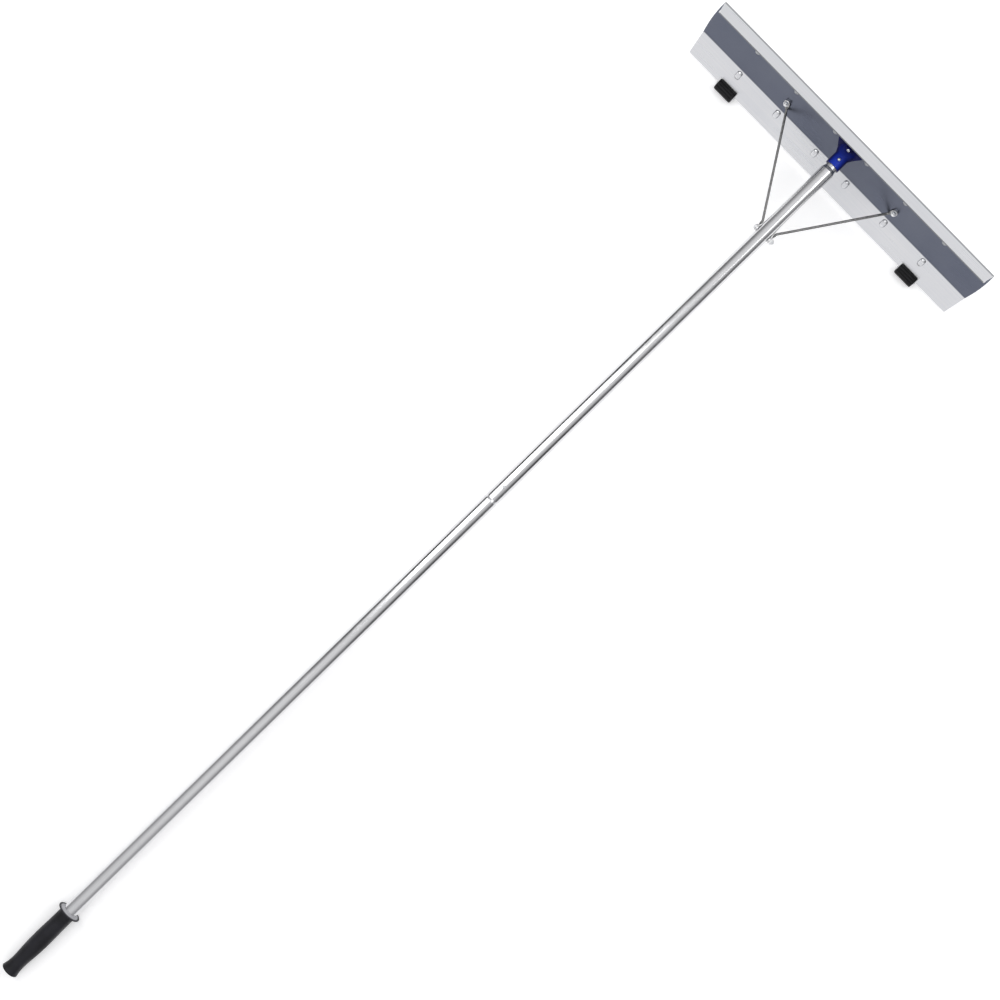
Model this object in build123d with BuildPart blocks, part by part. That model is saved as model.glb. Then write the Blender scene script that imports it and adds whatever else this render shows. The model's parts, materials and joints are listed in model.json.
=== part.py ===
"""Snow roof rake: folded aluminium blade on two rollers, braced to a two-section pole with a grip."""
from build123d import *
import math
import os

# Frame: X runs along the blade, +Y from the grip to the head, +Z up, and Z = 0 is the floor that the
# rake lies on with its two rollers and the rim of its grip. Millimetres and degrees.
EDGE_Y = 890.88
EDGE_Z = 11.0

# Blade, one sheet folded twice
BLADE_HALF = 305.0
SHEET = 1.2
BEND_RADIUS = 3.0
LOWER_HEIGHT = 47.0
LOWER_LEAN = 42.0
WEB_HEIGHT = 78.0
WEB_LEAN = 28.0
LIP_DEPTH = 28.0
HEM = 6.0
EDGE_TRIM = 4.5
LIP_TRIM = 6.5
END_BULGE = 2.5

# Stiffening beads pressed into both upright panels, one above the other at each place
BEADS_X = (-214.0, -125.0, -36.0, 36.0, 125.0, 214.0)
BEAD_RADIUS = 5.8
BEAD_PROUD = 3.4
LOWER_BEAD = (31.5, 38.0)
WEB_BEAD = (51.5, 60.0)

# Pole: two tubes of one diameter, the ends of which are drawn down to plug in
TUBE_RADIUS = 12.7
WALL = 0.9
HUB_Z = 80.0
JOINT_AT = 750.0
SPIGOT_LENGTH = 90.0
SPIGOT_RADIUS = 11.7
NECK_RADIUS = 10.5
MOUTH_AT = -14.0
NECK_END = -42.0

# Grip
FLANGE_AT = 1712.0
FLANGE_RADIUS = 21.0
FLANGE_THICKNESS = 1.4
BUTT_AT = 1850.0
BUTT_FACE_RADIUS = 13.3
TUBE_IN_GRIP = 85.0
GRIP_COLLAR = 3.0

# Hub
BARREL_RADIUS = 12.8
PLATE = 4.0
FLARE_HALF_WIDTH = 17.0
FLARE_HALF_HEIGHT = 15.0
BOSS_UP = 52.5
BOSS_TALL = 11.0
BOSS_RADIUS = 4.2
WING_BOLT_X = 20.0
WING_BOLT_UP = 61.0

# Snap buttons
STUD_RADIUS = 2.5
STUD_HOLE = 2.8
STUD_FLANGE = 3.2
STUD_DOME = 1.8
LEAF = 0.8
LEAF_WIDTH = 7.0
LEAF_LENGTH = 36.0
JOINT_BUTTON_AT = 724.0
HEAD_BUTTON_AT = -27.0

# Fasteners: two threads, and what their heads and nuts measure in thread diameters
BRACE_THREAD = 5.0
HUB_THREAD = 3.0
HOLE_PLAY = 0.1
THREAD_PLAY = 0.05
HEAD_RADIUS = 0.92
HEAD_HEIGHT = 0.62
HEAD_CROWN = 0.65
HEAD_SHOULDER = 0.37
NUT_HEIGHT = 0.8
NUT_COLLAR = 0.18
WASHER_RADIUS = 5.0
WASHER = 1.6

# Braces
ROD_RADIUS = 2.1
EYE_RADIUS = 5.3
EYE_WIDTH = 9.5
EYE_THICKNESS = 2.1
EYE_TO_NECK = 6.0
EYE_TO_ROD = 10.5
EYE_TO_BEND = 14.0
ROD_BEND = 6.0
BRACE_AT = 140.0
BRACE_X = 124.5
BRACE_UP = 22.0
BRACE_TAB_ANGLE = 30.0
BOLT_OVER_EYE = 6.5

# Rollers, in notches of the bottom edge
ROLLER_X = 213.0
ROLLER_RADIUS = 10.5
ROLLER_HALF = 18.0
ROLLER_BACK = 2.2
FLUTES = 14
FLUTE_RADIUS = 1.1
AXLE_RADIUS = 2.0
AXLE_CLEARANCE = 0.06
AXLE_HEAD = 3.2
AXLE_HEAD_TALL = 0.8
NOTCH_HALF = 20.8
NOTCH_HEIGHT = 10.4
EAR = 1.0
EAR_GAP = 0.5
EAR_RADIUS = 5.5
EAR_DEPTH = 6.4
BASE_LOW = 18.0
BASE_HIGH = 31.0
RIVET_X = 14.0
RIVET_UP = 24.5
RIVET_RADIUS = 2.0

SIDES = {"left": -1, "right": 1}
brace_hole = BRACE_THREAD / 2 + HOLE_PLAY
hub_hole = HUB_THREAD / 2 + HOLE_PLAY


def leaning(origin, lean):
    """Plane of a panel that leans back from vertical: X along the blade, Y up the panel, Z to its front."""
    angle = math.radians(lean)
    return Plane(origin=origin, x_dir=(1, 0, 0), z_dir=(0, -math.cos(angle), math.sin(angle)))


def placed(plane, x, y, z):
    """Point at local coordinates of a plane."""
    return plane.from_local_coords(Vector(x, y, z))


def at(plane, x, y, z=0.0):
    """The same plane, moved to a local point."""
    return Plane(origin=placed(plane, x, y, z), x_dir=plane.x_dir, z_dir=plane.z_dir)


lower_panel = leaning((0, EDGE_Y, EDGE_Z), LOWER_LEAN)
fold = placed(lower_panel, 0, LOWER_HEIGHT, 0)
web = leaning(fold, WEB_LEAN)
web_front = SHEET / 2

# The pole's own plane: Z runs from the head towards the grip, Y is up, and the origin is above the
# blade's bottom edge. It drops until the rim of the grip touches the floor.
rim_at = FLANGE_AT + FLANGE_THICKNESS
pole_drop = math.asin(HUB_Z / math.hypot(rim_at, FLANGE_RADIUS)) - math.atan(FLANGE_RADIUS / rim_at)
pole = Plane(
    origin=(0, EDGE_Y, HUB_Z),
    x_dir=(1, 0, 0),
    z_dir=(0, -math.cos(pole_drop), -math.sin(pole_drop)),
)


def turn(frame, outline, mode=Mode.ADD):
    """Solid of revolution about a plane's Z, from points (radius, height)."""
    section = Plane(origin=frame.origin, x_dir=frame.x_dir, z_dir=-frame.y_dir)
    with BuildSketch(section) as profile:
        Polygon(*outline, align=None)
    revolve(profile.sketch, axis=Axis(frame.origin, frame.z_dir), mode=mode)


def disc(frame, radius, start, end, mode=Mode.ADD):
    """Cylinder along a plane's Z, between two heights."""
    with BuildSketch(frame.offset(start)) as profile:
        Circle(radius)
    extrude(profile.sketch, amount=end - start, mode=mode)


def ring(frame, inner, outer, start, end):
    """Washer or bush along a plane's Z."""
    turn(frame, [(inner, start), (outer, start), (outer, end), (inner, end)])


def bolt(frame, under_head, tip, thread):
    """Round-headed bolt: its head starts at under_head and grows away from the tip."""
    away = -1 if tip > under_head else 1
    crown = under_head + away * HEAD_HEIGHT * thread
    shoulder = under_head + away * HEAD_SHOULDER * thread
    head = HEAD_RADIUS * thread
    shank = thread / 2 - THREAD_PLAY
    outline = [
        (0, crown),
        (HEAD_CROWN * thread, crown),
        (head, shoulder),
        (head, under_head),
        (shank, under_head),
        (shank, tip),
        (0, tip),
    ]
    turn(frame, outline)


def lock_nut(frame, base, way, thread):
    """Hexagon nut that stands on base, way 1 or -1 along Z, with the round collar of its insert."""
    hole = thread / 2 + HOLE_PLAY
    across = HEAD_RADIUS * thread
    top = base + way * NUT_HEIGHT * thread
    collar = top + way * NUT_COLLAR * thread
    with BuildSketch(frame.offset(base)) as profile:
        RegularPolygon(across, 6)
        Circle(hole, mode=Mode.SUBTRACT)
    extrude(profile.sketch, amount=top - base)
    turn(frame, [(hole, top), (across * 0.8, top), (across * 0.68, collar), (hole, collar)])


def finish(part, name):
    """Name a piece and write it."""
    part.label = name
    export_step(part, f"parts/{name}.step")


os.makedirs("parts", exist_ok=True)

# Blade -----------------------------------------------------------------------------------------------
top = placed(web, 0, WEB_HEIGHT, 0)
lip_edge = placed(web, 0, WEB_HEIGHT, LIP_DEPTH)
edge = placed(lower_panel, 0, 0, 0)
# The lip's edge is doubled by a hem, folded flat under it.
hem = [placed(web, 0, WEB_HEIGHT - SHEET, depth) for depth in (LIP_DEPTH - HEM, LIP_DEPTH)]


def beads(panel, span, radius, mode):
    """Round-ended bars up a panel at every bead's place, sunk so that they stand proud a little."""
    depth = web_front + BEAD_PROUD - BEAD_RADIUS
    length = span[1] - span[0]
    with BuildPart(mode=Mode.PRIVATE) as bars:
        for x in BEADS_X:
            middle = placed(panel, x, span[0] + length / 2, depth)
            with BuildSketch(Plane(origin=middle, x_dir=panel.y_dir, z_dir=panel.x_dir)) as half:
                SlotCenterToCenter(length, 2 * radius)
                with Locations((0, -radius)):
                    Rectangle(length + 4 * radius, 2 * radius, mode=Mode.SUBTRACT)
            revolve(half.sketch, axis=Axis(middle, panel.y_dir))
        if mode == Mode.ADD:
            split(bisect_by=panel, keep=Keep.TOP)
    add(bars.part, mode=mode)


with BuildPart() as blade:
    with BuildSketch(Plane.YZ):
        with BuildLine():
            FilletPolyline(*[(p.Y, p.Z) for p in (edge, fold, top, lip_edge)], radius=BEND_RADIUS)
            Line(*[(p.Y, p.Z) for p in hem])
        trace(line_width=SHEET)
    extrude(amount=BLADE_HALF + END_BULGE, both=True)

    # Each bead is added in front of the sheet's middle, then hollowed to the sheet's thickness.
    for panel, span in ((lower_panel, LOWER_BEAD), (web, WEB_BEAD)):
        beads(panel, span, BEAD_RADIUS, Mode.ADD)
        beads(panel, span, BEAD_RADIUS - SHEET, Mode.SUBTRACT)

    # The ends: the lower panel tapers in, the web bows out a little and the lip is mitred.
    with BuildSketch(Plane.XZ):
        with BuildLine():
            Polyline(
                (0, 0),
                (BLADE_HALF - EDGE_TRIM, 0),
                (BLADE_HALF - EDGE_TRIM, EDGE_Z),
                (BLADE_HALF, fold.Z),
            )
            ThreePointArc(
                (BLADE_HALF, fold.Z),
                (BLADE_HALF + END_BULGE, (fold.Z + top.Z) / 2),
                (BLADE_HALF, top.Z),
            )
            Polyline(
                (BLADE_HALF, top.Z),
                (BLADE_HALF - LIP_TRIM, lip_edge.Z),
                (BLADE_HALF - LIP_TRIM, lip_edge.Z + LIP_DEPTH),
                (0, lip_edge.Z + LIP_DEPTH),
                (0, 0),
            )
        make_face()
        mirror(about=Plane.YZ)
    extrude(amount=2 * EDGE_Y, both=True, mode=Mode.INTERSECT)

    # Notches for the rollers, and the holes for everything bolted or riveted on.
    with BuildSketch(lower_panel):
        with Locations((-ROLLER_X, 0), (ROLLER_X, 0)):
            RectangleRounded(2 * NOTCH_HALF, 2 * NOTCH_HEIGHT, BEND_RADIUS)
    extrude(amount=SHEET, both=True, mode=Mode.SUBTRACT)
    for side in SIDES.values():
        for rivet_x in (-RIVET_X, RIVET_X):
            rivet_hole = at(lower_panel, side * ROLLER_X + rivet_x, RIVET_UP)
            disc(rivet_hole, RIVET_RADIUS, -SHEET, SHEET, Mode.SUBTRACT)
        disc(at(web, side * BRACE_X, BRACE_UP), brace_hole, -SHEET, SHEET, Mode.SUBTRACT)
        disc(at(web, side * WING_BOLT_X, WING_BOLT_UP), hub_hole, -SHEET, SHEET, Mode.SUBTRACT)
    disc(at(web, 0, BOSS_UP), hub_hole, -SHEET, SHEET, Mode.SUBTRACT)
finish(blade.part, "blade")

# Hub -------------------------------------------------------------------------------------------------
plate_plane = web.offset(web_front)
flare_plane = web.offset(web_front + PLATE)
flare_reach = flare_plane.to_local_coords(pole.origin)
flare_way = flare_plane.to_local_coords(pole.origin + pole.z_dir) - flare_reach
axis_up_flare = flare_reach.Y - flare_way.Y * flare_reach.Z / flare_way.Z

with BuildPart() as hub:
    # Plate against the web, narrow below the barrel and spreading into two wings above it
    with BuildSketch(plate_plane):
        right = [(11, 21), (13, 29), (28, 55), (28, 67)]
        Polygon(*right, *[(-x, up) for x, up in reversed(right)], align=None)
        fillet(vertices(), radius=3)
    extrude(amount=PLATE)
    # Barrel, and the flare that carries it onto the plate
    with BuildSketch(pole.offset(-36)):
        Circle(BARREL_RADIUS)
    extrude(amount=36 + MOUTH_AT)
    with BuildSketch(pole.offset(-36)):
        Circle(BARREL_RADIUS)
    with BuildSketch(at(flare_plane, 0, axis_up_flare)):
        Ellipse(FLARE_HALF_WIDTH, FLARE_HALF_HEIGHT)
    loft()
    # Boss of the visible bolt
    disc(at(web, 0, BOSS_UP), BOSS_RADIUS, web_front, BOSS_TALL)
    disc(at(web, 0, BOSS_UP), BOSS_RADIUS, BOSS_TALL, 2 * BOSS_TALL, Mode.SUBTRACT)
    # Bore, button hole and bolt holes
    disc(pole, NECK_RADIUS + 0.1, NECK_END - 1, 0, Mode.SUBTRACT)
    button_hole = Plane(origin=placed(pole, 0, 0, HEAD_BUTTON_AT), x_dir=pole.x_dir, z_dir=pole.y_dir)
    disc(button_hole, STUD_HOLE, 0, 2 * BARREL_RADIUS, Mode.SUBTRACT)
    disc(at(web, 0, BOSS_UP), hub_hole, 0, 2 * BOSS_TALL, Mode.SUBTRACT)
    for side in SIDES.values():
        disc(at(web, side * WING_BOLT_X, WING_BOLT_UP), hub_hole, 0, 3 * PLATE, Mode.SUBTRACT)
finish(hub.part, "hub")

hub_bolt_tops = {
    (0, BOSS_UP): BOSS_TALL,
    (-WING_BOLT_X, WING_BOLT_UP): web_front + PLATE,
    (WING_BOLT_X, WING_BOLT_UP): web_front + PLATE,
}
hub_bolt_tip = -web_front - (NUT_HEIGHT + NUT_COLLAR) * HUB_THREAD - 1.5
with BuildPart() as hub_bolts:
    for (x, up), height in hub_bolt_tops.items():
        bolt(at(web, x, up), height, hub_bolt_tip, HUB_THREAD)
finish(hub_bolts.part, "hub_bolts")

with BuildPart() as hub_nuts:
    for x, up in hub_bolt_tops:
        lock_nut(at(web, x, up), -web_front, -1, HUB_THREAD)
finish(hub_nuts.part, "hub_nuts")

# Pole ------------------------------------------------------------------------------------------------
shoulder = 6.0
inside = TUBE_RADIUS - WALL


def button_frame(distance):
    """Plane across the pole at a button: Z is up, out of the hole."""
    return Plane(origin=placed(pole, 0, 0, distance), x_dir=pole.x_dir, z_dir=pole.y_dir)


cross_bolt = Plane(origin=placed(pole, 0, 0, BRACE_AT), x_dir=pole.z_dir, z_dir=pole.x_dir)

with BuildPart() as upper_pole:
    turn(
        pole,
        [
            (NECK_RADIUS, NECK_END),
            (NECK_RADIUS, -3 - shoulder),
            (TUBE_RADIUS, -3),
            (TUBE_RADIUS, JOINT_AT),
            (inside, JOINT_AT),
            (inside, -3),
            (NECK_RADIUS - WALL, -3 - shoulder),
            (NECK_RADIUS - WALL, NECK_END),
        ],
    )
    disc(button_frame(HEAD_BUTTON_AT), STUD_HOLE, 0, TUBE_RADIUS, Mode.SUBTRACT)
    disc(button_frame(JOINT_BUTTON_AT), STUD_HOLE, 0, 2 * TUBE_RADIUS, Mode.SUBTRACT)
    disc(cross_bolt, brace_hole, -2 * TUBE_RADIUS, 2 * TUBE_RADIUS, Mode.SUBTRACT)
finish(upper_pole.part, "upper_pole")

with BuildPart() as lower_pole:
    turn(
        pole,
        [
            (SPIGOT_RADIUS, JOINT_AT - SPIGOT_LENGTH),
            (SPIGOT_RADIUS, JOINT_AT + 0.8),
            (TUBE_RADIUS, JOINT_AT + 5),
            (TUBE_RADIUS, FLANGE_AT + TUBE_IN_GRIP),
            (inside, FLANGE_AT + TUBE_IN_GRIP),
            (inside, JOINT_AT + 5),
            (SPIGOT_RADIUS - WALL, JOINT_AT + 0.8),
            (SPIGOT_RADIUS - WALL, JOINT_AT - SPIGOT_LENGTH),
        ],
    )
    disc(button_frame(JOINT_BUTTON_AT), STUD_HOLE, 0, TUBE_RADIUS, Mode.SUBTRACT)
finish(lower_pole.part, "lower_pole")


# Snap buttons: a stud riveted to a V spring inside the inner tube -------------------------------------
def seat_height(bore):
    """Height of the stud's flange, just under the round wall of the tube."""
    return math.sqrt(bore**2 - STUD_FLANGE**2) - 0.15


def snap_button(name, distance, bore, out):
    """The stud, out of its hole to the height given."""
    seat = seat_height(bore)
    with BuildPart() as stud:
        turn(
            button_frame(distance),
            [
                (0, seat - 1),
                (STUD_FLANGE, seat - 1),
                (STUD_FLANGE, seat),
                (STUD_RADIUS, seat),
                (STUD_RADIUS, out),
                (0, out),
            ],
        )
        crown = stud.edges().filter_by(GeomType.CIRCLE).sort_by(Axis.Z)[-1]
        fillet(crown, radius=STUD_DOME)
    finish(stud.part, name)


def button_spring(name, distance, bore, reach):
    """V spring: one leg under the stud, the other on the tube's floor, joined at reach from the stud."""
    rise = seat_height(bore) - 1 - LEAF / 2
    floor = -math.sqrt(bore**2 - (LEAF_WIDTH / 2) ** 2) + LEAF
    tip = distance - math.copysign(STUD_RADIUS, reach)
    bend = distance + reach
    section = Plane(origin=pole.origin, x_dir=pole.z_dir, z_dir=-pole.x_dir)
    with BuildPart() as spring:
        with BuildSketch(section):
            with BuildLine():
                FilletPolyline((tip, rise), (bend, 0), (bend, floor), (tip, floor), radius=2.5)
            trace(line_width=LEAF)
        extrude(amount=LEAF_WIDTH / 2, both=True)
    finish(spring.part, name)


snap_button("joint_button", JOINT_BUTTON_AT, SPIGOT_RADIUS - WALL, TUBE_RADIUS + 2.0)
button_spring("joint_button_spring", JOINT_BUTTON_AT, SPIGOT_RADIUS - WALL, -LEAF_LENGTH)
snap_button("head_button", HEAD_BUTTON_AT, NECK_RADIUS - WALL, BARREL_RADIUS + 1.6)
button_spring("head_button_spring", HEAD_BUTTON_AT, NECK_RADIUS - WALL, LEAF_LENGTH)

# Grip ------------------------------------------------------------------------------------------------
grip_section = Plane(origin=pole.origin, x_dir=pole.x_dir, z_dir=-pole.y_dir)
grip_bore = TUBE_RADIUS + 0.05
tube_end = FLANGE_AT + TUBE_IN_GRIP + 1

with BuildPart() as grip:
    with BuildSketch(grip_section):
        with BuildLine():
            Polyline(
                (grip_bore, FLANGE_AT - GRIP_COLLAR),
                (13.8, FLANGE_AT - GRIP_COLLAR),
                (14.8, FLANGE_AT),
                (FLANGE_RADIUS, FLANGE_AT),
                (FLANGE_RADIUS, FLANGE_AT + FLANGE_THICKNESS),
                (15.0, FLANGE_AT + FLANGE_THICKNESS + 0.8),
                (14.2, FLANGE_AT + 5),
            )
            Spline(
                (14.2, FLANGE_AT + 5),
                (14.3, FLANGE_AT + 30),
                (14.9, FLANGE_AT + 60),
                (14.0, FLANGE_AT + 92),
                (12.6, FLANGE_AT + 116),
                (13.3, FLANGE_AT + 128),
                (15.0, BUTT_AT - 1.8),
            )
            ThreePointArc(
                (15.0, BUTT_AT - 1.8),
                (14.7, BUTT_AT - 0.6),
                (BUTT_FACE_RADIUS, BUTT_AT),
            )
            Polyline(
                (BUTT_FACE_RADIUS, BUTT_AT),
                (0, BUTT_AT),
                (0, tube_end),
                (grip_bore, tube_end),
                (grip_bore, FLANGE_AT - GRIP_COLLAR),
            )
        make_face()
    revolve(axis=Axis(pole.origin, pole.z_dir))
finish(grip.part, "grip")

# Braces ----------------------------------------------------------------------------------------------
pole_washer_top = TUBE_RADIUS + WASHER
pole_eye_x = pole_washer_top + EYE_THICKNESS / 2
pole_eye_top = pole_washer_top + EYE_THICKNESS
web_washer_top = web_front + WASHER
web_eye_out = web_washer_top + EYE_THICKNESS / 2
web_eye_top = web_washer_top + EYE_THICKNESS
tab_angle = math.radians(BRACE_TAB_ANGLE)


def brace_eye(center, along, normal):
    """Flattened end of a rod: a drilled eye, its tab, and the transition back to the round rod."""
    flat = Plane(origin=center, x_dir=along, z_dir=normal)
    with BuildSketch(flat.offset(-EYE_THICKNESS / 2)) as eye:
        Circle(EYE_RADIUS)
        with Locations((EYE_TO_NECK / 2, 0)):
            Rectangle(EYE_TO_NECK, EYE_WIDTH)
        Circle(brace_hole, mode=Mode.SUBTRACT)
    extrude(eye.sketch, amount=EYE_THICKNESS)
    with BuildSketch(Plane(origin=center + along * EYE_TO_NECK, x_dir=flat.y_dir, z_dir=along)) as neck:
        RectangleRounded(EYE_WIDTH, EYE_THICKNESS, EYE_THICKNESS * 0.45)
    with BuildSketch(Plane(origin=center + along * EYE_TO_ROD, x_dir=flat.y_dir, z_dir=along)) as rod:
        Circle(ROD_RADIUS)
    loft(sections=(neck.sketch, rod.sketch))


for side_name, side in SIDES.items():
    pole_eye = placed(pole, side * pole_eye_x, 0, BRACE_AT)
    pole_tab = -pole.z_dir
    web_eye = placed(web, side * BRACE_X, BRACE_UP, web_eye_out)
    web_tab = web.x_dir * (-side * math.sin(tab_angle)) - web.y_dir * math.cos(tab_angle)
    with BuildPart() as brace:
        brace_eye(pole_eye, pole_tab, pole.x_dir)
        brace_eye(web_eye, web_tab, web.z_dir)
        with BuildLine() as route:
            FilletPolyline(
                pole_eye + pole_tab * EYE_TO_ROD,
                pole_eye + pole_tab * EYE_TO_BEND,
                web_eye + web_tab * EYE_TO_BEND,
                web_eye + web_tab * EYE_TO_ROD,
                radius=ROD_BEND,
            )
        with BuildSketch(Plane(origin=pole_eye + pole_tab * EYE_TO_ROD, z_dir=pole_tab)):
            Circle(ROD_RADIUS)
        sweep(path=route.wires()[0])
    finish(brace.part, f"brace_{side_name}")

with BuildPart() as brace_pole_bolt:
    bolt(cross_bolt, -pole_eye_top, pole_eye_top + BOLT_OVER_EYE, BRACE_THREAD)
finish(brace_pole_bolt.part, "brace_pole_bolt")

with BuildPart() as brace_pole_nut:
    lock_nut(cross_bolt, pole_eye_top, 1, BRACE_THREAD)
finish(brace_pole_nut.part, "brace_pole_nut")

with BuildPart() as brace_pole_washers:
    ring(cross_bolt, brace_hole, WASHER_RADIUS, TUBE_RADIUS, pole_washer_top)
    ring(cross_bolt, brace_hole, WASHER_RADIUS, -TUBE_RADIUS, -pole_washer_top)
finish(brace_pole_washers.part, "brace_pole_washers")

web_bolts = [at(web, side * BRACE_X, BRACE_UP) for side in SIDES.values()]
with BuildPart() as brace_blade_bolts:
    for frame in web_bolts:
        bolt(frame, -web_front, web_eye_top + BOLT_OVER_EYE, BRACE_THREAD)
finish(brace_blade_bolts.part, "brace_blade_bolts")

with BuildPart() as brace_blade_washers:
    for frame in web_bolts:
        ring(frame, brace_hole, WASHER_RADIUS, web_front, web_washer_top)
finish(brace_blade_washers.part, "brace_blade_washers")

with BuildPart() as brace_blade_nuts:
    for frame in web_bolts:
        lock_nut(frame, web_eye_top, 1, BRACE_THREAD)
finish(brace_blade_nuts.part, "brace_blade_nuts")

# Rollers ---------------------------------------------------------------------------------------------
ear_in = ROLLER_HALF + EAR_GAP
ear_out = ear_in + EAR
back_face = -SHEET / 2
base_middle = (BASE_LOW + BASE_HIGH) / 2

with BuildPart() as bracket_rivets:
    for side in SIDES.values():
        for rivet_x in (-RIVET_X, RIVET_X):
            turn(
                at(lower_panel, side * ROLLER_X + rivet_x, RIVET_UP),
                [
                    (0, back_face - EAR - 1.2),
                    (2.4, back_face - EAR - 1.2),
                    (3.2, back_face - EAR),
                    (RIVET_RADIUS, back_face - EAR),
                    (RIVET_RADIUS, web_front),
                    (0, web_front),
                ],
            )
finish(bracket_rivets.part, "bracket_rivets")

for side_name, side in SIDES.items():
    centre = Vector(side * ROLLER_X, EDGE_Y - ROLLER_BACK, ROLLER_RADIUS)
    across = Plane(origin=centre, x_dir=(0, 1, 0), z_dir=(1, 0, 0))
    with BuildPart() as roller:
        turn(
            across,
            [
                (AXLE_RADIUS + AXLE_CLEARANCE, -ROLLER_HALF),
                (ROLLER_RADIUS - 1, -ROLLER_HALF),
                (ROLLER_RADIUS, -ROLLER_HALF + 1),
                (ROLLER_RADIUS, ROLLER_HALF - 1),
                (ROLLER_RADIUS - 1, ROLLER_HALF),
                (AXLE_RADIUS + AXLE_CLEARANCE, ROLLER_HALF),
            ],
        )
        with BuildSketch(across):
            with PolarLocations(ROLLER_RADIUS + FLUTE_RADIUS * 0.35, FLUTES):
                Circle(FLUTE_RADIUS)
        extrude(amount=ROLLER_HALF - 3, both=True, mode=Mode.SUBTRACT)
    finish(roller.part, f"roller_{side_name}")

    with BuildPart() as axle:
        turn(
            across,
            [
                (0, -ear_out - AXLE_HEAD_TALL),
                (AXLE_HEAD - 0.5, -ear_out - AXLE_HEAD_TALL),
                (AXLE_HEAD, -ear_out),
                (AXLE_RADIUS, -ear_out),
                (AXLE_RADIUS, ear_out),
                (AXLE_HEAD, ear_out),
                (AXLE_HEAD - 0.5, ear_out + AXLE_HEAD_TALL),
                (0, ear_out + AXLE_HEAD_TALL),
            ],
        )
    finish(axle.part, f"roller_axle_{side_name}")

    # U bracket behind the panel: its ears reach down through the notch to the axle.
    with BuildPart() as bracket:
        with BuildSketch(at(lower_panel, side * ROLLER_X, base_middle, back_face - EAR)):
            Rectangle(2 * ear_out, BASE_HIGH - BASE_LOW)
            with Locations((-RIVET_X, RIVET_UP - base_middle), (RIVET_X, RIVET_UP - base_middle)):
                Circle(RIVET_RADIUS, mode=Mode.SUBTRACT)
        extrude(amount=EAR)
        for ear_start in (-ear_out, ear_in):
            ear_plane = Plane(
                origin=placed(lower_panel, side * ROLLER_X + ear_start, 0, 0),
                x_dir=lower_panel.y_dir,
                z_dir=lower_panel.x_dir,
            )
            pin = ear_plane.to_local_coords(centre)
            with BuildSketch(ear_plane):
                with Locations((pin.X, pin.Y)):
                    Circle(EAR_RADIUS)
                with Locations((base_middle, back_face - EAR_DEPTH / 2)):
                    Rectangle(BASE_HIGH - BASE_LOW, EAR_DEPTH)
                make_hull()
                with Locations((BASE_HIGH, back_face + EAR_RADIUS)):
                    Rectangle(2 * (BASE_HIGH - NOTCH_HEIGHT + 1), 2 * EAR_RADIUS, mode=Mode.SUBTRACT)
                with Locations((pin.X, pin.Y)):
                    Circle(AXLE_RADIUS, mode=Mode.SUBTRACT)
            extrude(amount=EAR)
    finish(bracket.part, f"roller_bracket_{side_name}")
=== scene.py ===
"""Snow roof rake: materials, added detail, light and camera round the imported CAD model.

Everything is in metres in the model's own frame: +X along the blade, +Y from the grip to the blade, and
+Z up from the floor. Places come from the boxes of the CAD nodes and from the record's joints and mounts.
"""
import json
import math

import bmesh
import bpy
from mathutils import Matrix, Vector


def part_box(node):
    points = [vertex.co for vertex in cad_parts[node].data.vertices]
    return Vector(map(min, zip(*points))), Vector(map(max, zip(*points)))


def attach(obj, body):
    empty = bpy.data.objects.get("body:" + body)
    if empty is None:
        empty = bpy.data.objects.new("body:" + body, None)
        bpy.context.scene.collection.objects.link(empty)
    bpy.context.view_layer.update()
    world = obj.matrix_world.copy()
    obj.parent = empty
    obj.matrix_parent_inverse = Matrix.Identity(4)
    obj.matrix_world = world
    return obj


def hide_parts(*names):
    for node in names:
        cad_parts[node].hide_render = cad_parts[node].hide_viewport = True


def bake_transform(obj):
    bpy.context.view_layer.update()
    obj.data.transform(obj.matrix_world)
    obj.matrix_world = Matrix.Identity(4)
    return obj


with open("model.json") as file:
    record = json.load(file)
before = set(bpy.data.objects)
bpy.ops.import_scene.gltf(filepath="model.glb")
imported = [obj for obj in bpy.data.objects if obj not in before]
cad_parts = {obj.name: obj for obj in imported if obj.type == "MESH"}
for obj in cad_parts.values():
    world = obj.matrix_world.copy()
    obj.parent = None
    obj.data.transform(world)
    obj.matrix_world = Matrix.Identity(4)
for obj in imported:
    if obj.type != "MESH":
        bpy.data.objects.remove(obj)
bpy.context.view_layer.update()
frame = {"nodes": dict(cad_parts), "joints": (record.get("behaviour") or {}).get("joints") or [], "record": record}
record = frame["record"]
MM = 0.001

# The pole's line and the blade's panels, as the CAD has them
butt = next(mount for mount in record["mounts"] if mount["name"] == "grip_butt")
to_grip = Vector(butt["axis"]).normalized()
pole_tilt = math.asin(-to_grip.z)
LOWER_LEAN = math.radians(42)
LOWER_HEIGHT = 47 * MM
WEB_LEAN = math.radians(28)
SHEET = 1.2 * MM
FLANGE_AT = 1712 * MM
BUTT_AT = 1850 * MM
BRACE_AT = 140 * MM

# Bolts, in millimetres along the blade and up the web
BRACE_BOLT_X = 124.5
BRACE_BOLT_UP = 22
HUB_BOLTS = ((0, 52.5), (-20, 61), (20, 61))


def panel(lean):
    """Directions out of and up a panel of the blade that leans back from upright."""
    return Vector((0, -math.cos(lean), math.sin(lean))), Vector((0, math.sin(lean), math.cos(lean)))


lower_normal, up_lower = panel(LOWER_LEAN)
web_normal, up_web = panel(WEB_LEAN)
blade_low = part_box("blade")[0]
bottom_edge = Vector((0, blade_low[1] + SHEET / 2 * up_lower.z, blade_low[2] + SHEET / 2 * up_lower.y))
fold = bottom_edge + up_lower * LOWER_HEIGHT
web_face = fold.dot(web_normal) + SHEET / 2
lower_face = fold.dot(lower_normal) + SHEET / 2
head = Vector(butt["pos_m"]) - to_grip * BUTT_AT
UPWARD = (0, 0, 1)


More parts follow.
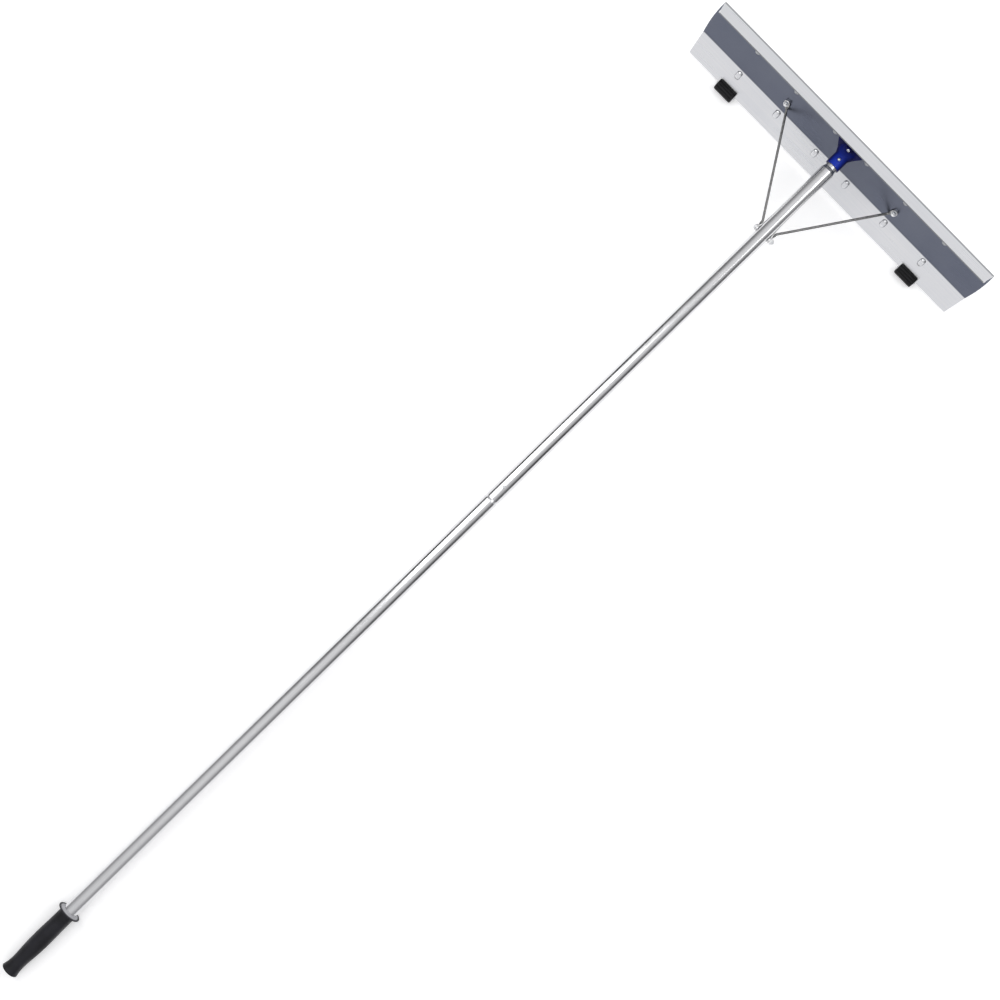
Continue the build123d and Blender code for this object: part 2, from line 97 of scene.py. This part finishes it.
class Shader:
    """A node material built on one Principled BSDF, with short calls for the nodes used here."""

    def __init__(self, name, **sockets):
        self.material = bpy.data.materials.new(name)
        self.material.use_nodes = True
        self.tree = self.material.node_tree
        self.bsdf = self.tree.nodes["Principled BSDF"]
        for socket, value in sockets.items():
            self.bsdf.inputs[socket.replace("_", " ")].default_value = value
        self.place = self.node("ShaderNodeTexCoord").outputs["Object"]

    def node(self, kind, **settings):
        made = self.tree.nodes.new(kind)
        for name, value in settings.items():
            setattr(made, name, value)
        return made

    def link(self, source, target):
        self.tree.links.new(source, target)

    def feed(self, source, socket):
        self.link(source, self.bsdf.inputs[socket])

    def stretched(self, scale, tilt=0.0):
        """Object coordinates scaled per axis, turned first so that Y runs along a tilted pole."""
        turn = self.node("ShaderNodeMapping")
        turn.inputs["Rotation"].default_value = (-tilt, 0, 0)
        self.link(self.place, turn.inputs["Vector"])
        stretch = self.node("ShaderNodeMapping")
        stretch.inputs["Scale"].default_value = scale
        self.link(turn.outputs["Vector"], stretch.inputs["Vector"])
        return stretch.outputs["Vector"]

    def along(self, vector, axis):
        """Component of a vector along a fixed axis."""
        made = self.node("ShaderNodeVectorMath", operation="DOT_PRODUCT")
        made.inputs[1].default_value = axis
        self.link(vector, made.inputs[0])
        return made.outputs["Value"]

    def noise(self, vector, scale=1.0, detail=3.0, roughness=0.5):
        made = self.node("ShaderNodeTexNoise")
        made.inputs["Scale"].default_value = scale
        made.inputs["Detail"].default_value = detail
        made.inputs["Roughness"].default_value = roughness
        self.link(vector, made.inputs["Vector"])
        return made.outputs["Fac"]

    def cells(self, vector, scale):
        made = self.node("ShaderNodeTexVoronoi")
        made.inputs["Scale"].default_value = scale
        self.link(vector, made.inputs["Vector"])
        return made.outputs["Distance"]

    def remap(self, value, low, high, to_low, to_high):
        """Straight-line remap of a value, clamped at both ends."""
        made = self.node("ShaderNodeMapRange")
        for socket, number in zip(("From Min", "From Max", "To Min", "To Max"), (low, high, to_low, to_high)):
            made.inputs[socket].default_value = number
        self.link(value, made.inputs["Value"])
        return made.outputs["Result"]

    def math(self, operation, first, second):
        made = self.node("ShaderNodeMath", operation=operation)
        for socket, value in zip(made.inputs, (first, second)):
            if isinstance(value, (int, float)):
                socket.default_value = value
            else:
                self.link(value, socket)
        return made.outputs["Value"]

    def mix(self, factor, first, second):
        """Colour mix: each colour is a socket or an (r, g, b) value."""
        made = self.node("ShaderNodeMix", data_type="RGBA")
        if isinstance(factor, (int, float)):
            made.inputs["Factor"].default_value = factor
        else:
            self.link(factor, made.inputs["Factor"])
        for name, value in (("A", first), ("B", second)):
            socket = next(s for s in made.inputs if s.name == name and s.type == "RGBA")
            if isinstance(value, tuple):
                socket.default_value = (*value, 1)
            else:
                self.link(value, socket)
        return next(s for s in made.outputs if s.type == "RGBA")

    def worn_edges(self, low=0.52, high=0.60):
        """1 on sharp outer edges, 0 elsewhere."""
        pointiness = self.node("ShaderNodeNewGeometry").outputs["Pointiness"]
        return self.remap(pointiness, low, high, 0.0, 1.0)

    def bump(self, height, strength, distance, under=None):
        made = self.node("ShaderNodeBump")
        made.inputs["Strength"].default_value = strength
        made.inputs["Distance"].default_value = distance
        self.link(height, made.inputs["Height"])
        if under is not None:
            self.link(under, made.inputs["Normal"])
        return made.outputs["Normal"]


def sheet_aluminium():
    """Rolled sheet: rolling lines along X, smudges and fine scratches. The web's front carries a painted dark
    reflection.
    """
    shader = Shader("sheet_aluminium", Metallic=1.0)
    grain = shader.noise(shader.stretched((4, 700, 700)), detail=3)
    smudge = shader.noise(shader.place, scale=9, detail=4, roughness=0.5)
    scratch = shader.noise(shader.stretched((260, 9, 9)), scale=3, detail=6, roughness=0.7)
    bright = shader.mix(shader.remap(grain, 0.35, 0.65, 0.0, 1.0), (0.70, 0.71, 0.73), (0.75, 0.75, 0.76))
    bright = shader.mix(shader.remap(smudge, 0.45, 0.75, 0.0, 0.3), bright, (0.64, 0.65, 0.68))

    # Painted reflection: a dark blue-grey tone, for the dark surroundings the web reflects, keeps to the web's own
    # front plane, so that the beads in it stay brighter with a painted mid-grey tone. The cut end of the lip faces
    # the same way, further out, and gets painted shade. Round the lower beads the rims get painted shade.
    normal = shader.node("ShaderNodeTexCoord").outputs["Normal"]
    outward = shader.remap(shader.along(normal, web_normal), 0.90, 0.97, 0.0, 1.0)
    in_front = shader.math("SUBTRACT", shader.along(shader.place, web_normal), web_face)
    off_plane = shader.math("ABSOLUTE", in_front, 0.0)
    # Painted reflection: dark tone on the web's front plane.
    web_reflection = shader.math("MULTIPLY", outward, shader.remap(off_plane, 0.2 * MM, 0.6 * MM, 1.0, 0.0))
    # Painted shade on the cut end of the lip.
    cut_end_shade = shader.math("MULTIPLY", outward, shader.remap(off_plane, 20 * MM, 21 * MM, 0.0, 1.0))
    dullness = shader.remap(smudge, 0.3, 0.7, 0.0, 1.0)
    painted_reflection_tone = shader.mix(dullness, (0.105, 0.115, 0.15), (0.130, 0.140, 0.175))
    level = shader.along(shader.place, UPWARD)
    above_fold = shader.remap(level, fold.z + 20 * MM, fold.z + 21 * MM, 0.0, 1.0)
    rising = shader.remap(in_front, 0.4 * MM, 1.0 * MM, 0.0, 1.0)
    on_bead = shader.math("MULTIPLY", rising, shader.remap(in_front, 4.5 * MM, 5.0 * MM, 1.0, 0.0))
    # Painted mid-grey reflection tone on the web's beads.
    web_bead_reflection = shader.math("MULTIPLY", on_bead, above_fold)
    over_lower = shader.math("SUBTRACT", shader.along(shader.place, lower_normal), lower_face)
    # Painted shade round the rims of the beads on the lower panel.
    bead_rim_shade = shader.math("MULTIPLY", shader.remap(over_lower, 0.3 * MM, 0.5 * MM, 0.0, 1.0),
                           shader.remap(over_lower, 1.4 * MM, 2.2 * MM, 1.0, 0.0))
    below_fold = shader.remap(level, fold.z - 3 * MM, fold.z - 2 * MM, 1.0, 0.0)
    bright = shader.mix(shader.math("MULTIPLY", bead_rim_shade, below_fold), bright, (0.34, 0.35, 0.37))
    colour = shader.mix(web_reflection, shader.mix(web_bead_reflection, bright, (0.36, 0.37, 0.38)), painted_reflection_tone)
    shader.feed(shader.mix(cut_end_shade, colour, (0.20, 0.205, 0.21)), "Base Color")

    brushed = shader.remap(grain, 0.3, 0.7, 0.26, 0.32)
    shader.feed(shader.math("ADD", brushed, shader.remap(smudge, 0.4, 0.8, 0.0, 0.10)), "Roughness")
    height = shader.math("ADD", grain, shader.math("MULTIPLY", scratch, 0.6))
    shader.feed(shader.bump(height, 0.04, 0.1 * MM), "Normal")
    return shader.material


def tube_aluminium():
    """Drawn tube: fine lines along the pole and faint handling marks."""
    shader = Shader("tube_aluminium", Metallic=1.0)
    lines = shader.noise(shader.stretched((1100, 5, 1100), pole_tilt), detail=4)
    marks = shader.noise(shader.place, scale=24, detail=5, roughness=0.65)
    colour = shader.mix(shader.remap(lines, 0.35, 0.65, 0.0, 1.0), (0.68, 0.68, 0.69), (0.76, 0.76, 0.77))
    colour = shader.mix(shader.remap(marks, 0.5, 0.8, 0.0, 0.3), colour, (0.55, 0.55, 0.58))
    shader.feed(colour, "Base Color")
    drawn = shader.remap(lines, 0.3, 0.7, 0.12, 0.20)
    shader.feed(shader.math("ADD", drawn, shader.remap(marks, 0.45, 0.8, 0.0, 0.14)), "Roughness")
    shader.feed(shader.bump(lines, 0.03, 0.1 * MM), "Normal")
    return shader.material


def plated_steel(name, light, dark, low_rough, high_rough):
    """Zinc-plated or bare steel: spangle, a little grime in the marks and brighter edges."""
    shader = Shader(name, Metallic=1.0)
    spangle = shader.cells(shader.place, 420)
    grime = shader.noise(shader.place, scale=130, detail=5, roughness=0.6)
    colour = shader.mix(shader.remap(spangle, 0.1, 0.7, 0.0, 1.0), dark, light)
    colour = shader.mix(shader.remap(grime, 0.5, 0.75, 0.0, 0.5), colour, tuple(0.45 * c for c in dark))
    colour = shader.mix(shader.math("MULTIPLY", shader.worn_edges(), 0.6), colour, (0.86, 0.86, 0.86))
    shader.feed(colour, "Base Color")
    shader.feed(shader.remap(grime, 0.3, 0.75, low_rough, high_rough), "Roughness")
    shader.feed(shader.bump(grime, 0.15, 0.1 * MM), "Normal")
    return shader.material


def hub_plastic():
    """Blue moulding with fine spark texture, flow clouding and small scuffs; painted light on faces that look up,
    painted shade under the lip.
    """
    shader = Shader("hub_blue", Specular_IOR_Level=0.12, Coat_Weight=0.02, Coat_Roughness=0.25)
    cloud = shader.noise(shader.place, scale=60, detail=4)
    texture = shader.noise(shader.place, scale=1500, detail=2)
    normal = shader.node("ShaderNodeTexCoord").outputs["Normal"]
    # Painted light and shade: faces that look up, low on the barrel, are a lit blue; the rest, and all under the
    # lip, a shaded navy.
    lit_facing_up = shader.remap(shader.along(normal, UPWARD), 0.5, 0.98, 0.0, 1.0)
    up_from_fold = shader.math("SUBTRACT", shader.along(shader.place, up_web), fold.dot(up_web))
    clear_of_lip_shade = shader.remap(up_from_fold, 37 * MM, 51 * MM, 1.0, 0.0)
    shaded_blue = shader.mix(shader.remap(cloud, 0.3, 0.7, 0.0, 1.0), (0.001, 0.0015, 0.045), (0.0015, 0.003, 0.075))
    colour = shader.mix(shader.math("MULTIPLY", lit_facing_up, clear_of_lip_shade), shaded_blue, (0.010, 0.034, 0.38))
    scuff = shader.noise(shader.place, scale=240, detail=5, roughness=0.65)
    colour = shader.mix(shader.remap(scuff, 0.58, 0.75, 0.0, 0.25), colour, (0.03, 0.05, 0.30))
    shader.feed(colour, "Base Color")
    shader.feed(shader.remap(cloud, 0.3, 0.7, 0.28, 0.42), "Roughness")
    shader.feed(shader.bump(texture, 0.12, 0.1 * MM), "Normal")
    return shader.material


def grip_vinyl():
    """Black vinyl: pebbled grain, a soft sheen, and polished patches where a hand holds it."""
    shader = Shader("grip_vinyl", Specular_IOR_Level=0.24, Sheen_Weight=0.04, Sheen_Roughness=0.4)
    pebble = shader.cells(shader.place, 620)
    patches = shader.noise(shader.place, scale=38, detail=4)
    worn = shader.remap(patches, 0.35, 0.7, 0.0, 1.0)
    colour = shader.mix(worn, (0.007, 0.007, 0.009), (0.016, 0.016, 0.021))
    colour = shader.mix(shader.math("MULTIPLY", shader.worn_edges(), 0.3), colour, (0.05, 0.05, 0.06))

    # Painted highlight: the flange's face towards the pole is made pale near the tube.
    from_head = shader.node("ShaderNodeVectorMath", operation="SUBTRACT")
    from_head.inputs[1].default_value = head
    shader.link(shader.place, from_head.inputs[0])
    past_face = shader.math("SUBTRACT", shader.along(from_head.outputs["Vector"], to_grip), FLANGE_AT)
    aside = shader.node("ShaderNodeVectorMath", operation="CROSS_PRODUCT")
    aside.inputs[1].default_value = to_grip
    shader.link(from_head.outputs["Vector"], aside.inputs[0])
    off_axis = shader.node("ShaderNodeVectorMath", operation="LENGTH")
    shader.link(aside.outputs["Vector"], off_axis.inputs[0])
    inner = shader.remap(off_axis.outputs["Value"], 16.5 * MM, 18.5 * MM, 1.0, 0.0)
    near_face = shader.remap(past_face, 0.2 * MM, 0.5 * MM, 1.0, 0.0)
    pale = shader.math("MULTIPLY", near_face, inner)
    colour = shader.mix(pale, colour, (0.42, 0.42, 0.44))
    shader.feed(colour, "Base Color")
    shader.feed(shader.remap(patches, 0.3, 0.7, 0.58, 0.38), "Roughness")
    grain = shader.bump(pebble, 0.35, 0.25 * MM)
    shader.feed(shader.bump(patches, 0.1, 0.4 * MM, under=grain), "Normal")
    return shader.material


def roller_plastic():
    """Black moulded roller with grey scuffing on the crests of its ribs."""
    shader = Shader("roller_black", Specular_IOR_Level=0.2)
    scuff = shader.noise(shader.stretched((25, 260, 260)), detail=5, roughness=0.65)
    crest = shader.math("MULTIPLY", shader.worn_edges(0.50, 0.57), shader.remap(scuff, 0.35, 0.6, 0.0, 1.0))
    colour = shader.mix(crest, (0.001, 0.001, 0.0015), (0.016, 0.016, 0.018))
    shader.feed(colour, "Base Color")
    shader.feed(shader.remap(scuff, 0.3, 0.7, 0.30, 0.55), "Roughness")
    shader.feed(shader.bump(scuff, 0.2, 0.15 * MM), "Normal")
    return shader.material


def floor_paper():
    """Seamless pale studio paper."""
    shader = Shader("floor_paper", Roughness=0.9, Emission_Color=(1, 1, 1, 1), Emission_Strength=0.2)
    fibre = shader.noise(shader.place, scale=180, detail=4)
    shader.feed(shader.mix(fibre, (0.95, 0.95, 0.95), (0.98, 0.98, 0.98)), "Base Color")
    return shader.material


zinc = plated_steel("zinc_plate", (0.72, 0.73, 0.74), (0.55, 0.56, 0.58), 0.24, 0.46)
rod_zinc = plated_steel("rod_zinc", (0.24, 0.24, 0.24), (0.15, 0.15, 0.15), 0.28, 0.50)
spring = plated_steel("spring_steel", (0.46, 0.46, 0.48), (0.30, 0.30, 0.33), 0.30, 0.50)
sheet = sheet_aluminium()
tube = tube_aluminium()
materials = {
    "aluminium_sheet": sheet,
    "rivet_aluminium": sheet,
    "aluminium_tube": tube,
    "blue_plastic": hub_plastic(),
    "black_plastic": roller_plastic(),
    "black_vinyl": grip_vinyl(),
    "zinc_steel": zinc,
    "rod_steel": rod_zinc,
    "spring_steel": spring,
}
slot_of = {part["node"]: part["material_slot"] for part in record["subparts"]}
for name, node in frame["nodes"].items():
    node.data.materials.clear()
    node.data.materials.append(materials[slot_of[name]])


# V springs, cut finely in place of the rigid ones -----------------------------------------------------
def closing_spring(spring_node):
    """Copy of a V spring, cut finely enough to bend, in place of the rigid one."""
    longest_edge = 1.5 * MM
    rigid = frame["nodes"][spring_node]
    fine = bmesh.new()
    fine.from_mesh(rigid.data)
    for _ in range(5):
        long_edges = [edge for edge in fine.edges if edge.calc_length() > longest_edge]
        bmesh.ops.subdivide_edges(fine, edges=long_edges, cuts=1)
        bmesh.ops.triangulate(fine, faces=fine.faces)
    mesh = bpy.data.meshes.new(f"{spring_node}_leaf")
    fine.to_mesh(mesh)
    fine.free()
    mesh.materials.append(spring)
    made = bpy.data.objects.new(f"{spring_node}_leaf", mesh)
    bpy.context.collection.objects.link(made)
    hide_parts(spring_node)
    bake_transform(made)


for joint in frame["joints"]:
    for soft in joint.get("deforming_nodes", []):
        closing_spring(soft["node"])


# Threads where the bolts stand out of their nuts ---------------------------------------------------------
def thread(name, foot, axis, radius, length, pitch):
    """Helical ridge on a bolt's shank, which fades out at both ends."""
    steps_per_turn = 28
    steps = round(length / pitch * steps_per_turn)
    crest = pitch * 0.55 * 0.35
    across = axis.orthogonal().normalized()
    beside = axis.cross(across)
    vertices = []
    for step in range(steps + 1):
        angle = step / steps_per_turn * math.tau
        outward = across * math.cos(angle) + beside * math.sin(angle)
        rise = length * step / steps
        fade = min(1.0, 4 * step / steps_per_turn, 4 * (steps - step) / steps_per_turn)
        for side, out in ((-0.42, -0.3), (-0.06, fade), (0.06, fade), (0.42, -0.3)):
            vertices.append(foot + axis * (rise + side * pitch) + outward * (radius + crest * out))
    faces = []
    for step in range(steps):
        low, high = 4 * step, 4 * step + 4
        faces += [(low + k, low + (k + 1) % 4, high + (k + 1) % 4, high + k) for k in range(4)]
    faces += [(3, 2, 1, 0), tuple(4 * steps + k for k in range(4))]
    mesh = bpy.data.meshes.new(name)
    mesh.from_pydata(vertices, [], faces)
    mesh.materials.append(zinc)
    made = bpy.data.objects.new(name, mesh)
    bpy.context.collection.objects.link(made)
    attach(made, "rake")


def on_web(x, up, out):
    """Point on the web, by its place along the blade, up the web and out of its front, in millimetres."""
    return fold + Vector((x * MM, 0, 0)) + up_web * (up * MM) + web_normal * (out * MM)


# Root radius, length and pitch of what shows of the thread of an M5 and an M3 bolt
M5_THREAD = (2.42 * MM, 1.3 * MM, 0.6 * MM)
M3_THREAD = (1.42 * MM, 1.2 * MM, 0.5 * MM)

# How far from the web's middle, and from the pole's axis, the thread starts
WEB_THREAD_OUT = 9.35
HUB_THREAD_BEHIND = 3.7
CROSS_THREAD_OUT = 21.45 * MM

for side, x in (("left", -BRACE_BOLT_X), ("right", BRACE_BOLT_X)):
    thread(f"web_bolt_thread_{side}", on_web(x, BRACE_BOLT_UP, WEB_THREAD_OUT), web_normal, *M5_THREAD)
cross_tip = head + to_grip * BRACE_AT + Vector((CROSS_THREAD_OUT, 0, 0))
thread("cross_bolt_thread", cross_tip, Vector((1, 0, 0)), *M5_THREAD)
for number, (x, up) in enumerate(HUB_BOLTS):
    thread(f"hub_bolt_thread_{number}", on_web(x, up, -HUB_THREAD_BEHIND), -web_normal, *M3_THREAD)


# Floor, light and camera ------------------------------------------------------------------------------
def floor():
    half = 12.0
    corners = [(-half, -half, 0), (half, -half, 0), (half, half, 0), (-half, half, 0)]
    mesh = bpy.data.meshes.new("floor")
    mesh.from_pydata(corners, [], [(0, 1, 2, 3)])
    made = bpy.data.objects.new("floor", mesh)
    bpy.context.collection.objects.link(made)
    mesh.materials.append(floor_paper())


def softbox(name, place, aim, width, height, watts):
    light = bpy.data.lights.new(name, "AREA")
    light.shape = "RECTANGLE"
    light.size = width
    light.size_y = height
    light.energy = watts
    made = bpy.data.objects.new(name, light)
    bpy.context.collection.objects.link(made)
    made.location = place
    made.rotation_euler = (Vector(aim) - Vector(place)).to_track_quat("-Z", "Y").to_euler()


def surroundings():
    """Pale light that is bright beyond both ends of the tool, medium overhead and dim at its sides."""
    world = bpy.data.worlds.new("studio")
    bpy.context.scene.world = world
    world.use_nodes = True
    tree = world.node_tree

    def ramp(source, stops):
        made = tree.nodes.new("ShaderNodeValToRGB")
        tree.links.new(source, made.inputs["Fac"])
        elements = made.color_ramp.elements
        while len(elements) < len(stops):
            elements.new(0.5)
        for element, (position, grey) in zip(elements, stops):
            element.position = position
            element.color = (grey, grey, grey * 1.02, 1)
        return made.outputs["Color"]

    split = tree.nodes.new("ShaderNodeSeparateXYZ")
    tree.links.new(tree.nodes.new("ShaderNodeTexCoord").outputs["Generated"], split.inputs["Vector"])
    lengthwise = tree.nodes.new("ShaderNodeMath")
    lengthwise.operation = "ABSOLUTE"
    tree.links.new(split.outputs["Y"], lengthwise.inputs[0])
    greys = ((0.0, 0.08), (0.14, 0.10), (0.26, 0.40), (0.45, 0.42), (0.95, 0.92))
    around = ramp(lengthwise.outputs["Value"], greys)
    overhead = ramp(split.outputs["Z"], ((0.45, 0.0), (0.94, 1.0)))
    blend = tree.nodes.new("ShaderNodeMix")
    blend.data_type = "RGBA"
    colours = {s.name: s for s in blend.inputs if s.type == "RGBA"}
    colours["B"].default_value = (0.80, 0.80, 0.81, 1)
    tree.links.new(overhead, blend.inputs["Factor"])
    tree.links.new(around, colours["A"])
    result = next(s for s in blend.outputs if s.type == "RGBA")
    tree.links.new(result, tree.nodes["Background"].inputs["Color"])


floor()
surroundings()
softbox("over_left", (-1.7, 0.1, 3.2), (0, 0.1, 0), 1.1, 4.0, 41)
softbox("over_right", (1.5, 2.4, 3.0), (0, 0.3, 0), 2.0, 2.0, 34)

EYE = Vector((0.015, 0.101, 2.698))
AIM = Vector((0.0103, 0.1494, 0.0))
POLE_ANGLE = math.radians(44.34)
PHOTO_FOCAL = 58.86


def camera():
    data = bpy.data.cameras.new("camera")
    data.lens = PHOTO_FOCAL
    data.sensor_width = 36.0
    made = bpy.data.objects.new("camera", data)
    bpy.context.collection.objects.link(made)
    ahead = (AIM - EYE).normalized()
    up_hint = Vector((-math.cos(POLE_ANGLE), math.sin(POLE_ANGLE), 0))
    right = ahead.cross(up_hint).normalized()
    up = right.cross(ahead)
    turn = Matrix((right, up, -ahead)).transposed().to_4x4()
    made.matrix_world = Matrix.Translation(EYE) @ turn
    bpy.context.scene.camera = made


camera()
bpy.context.scene.view_settings.view_transform = "Standard"
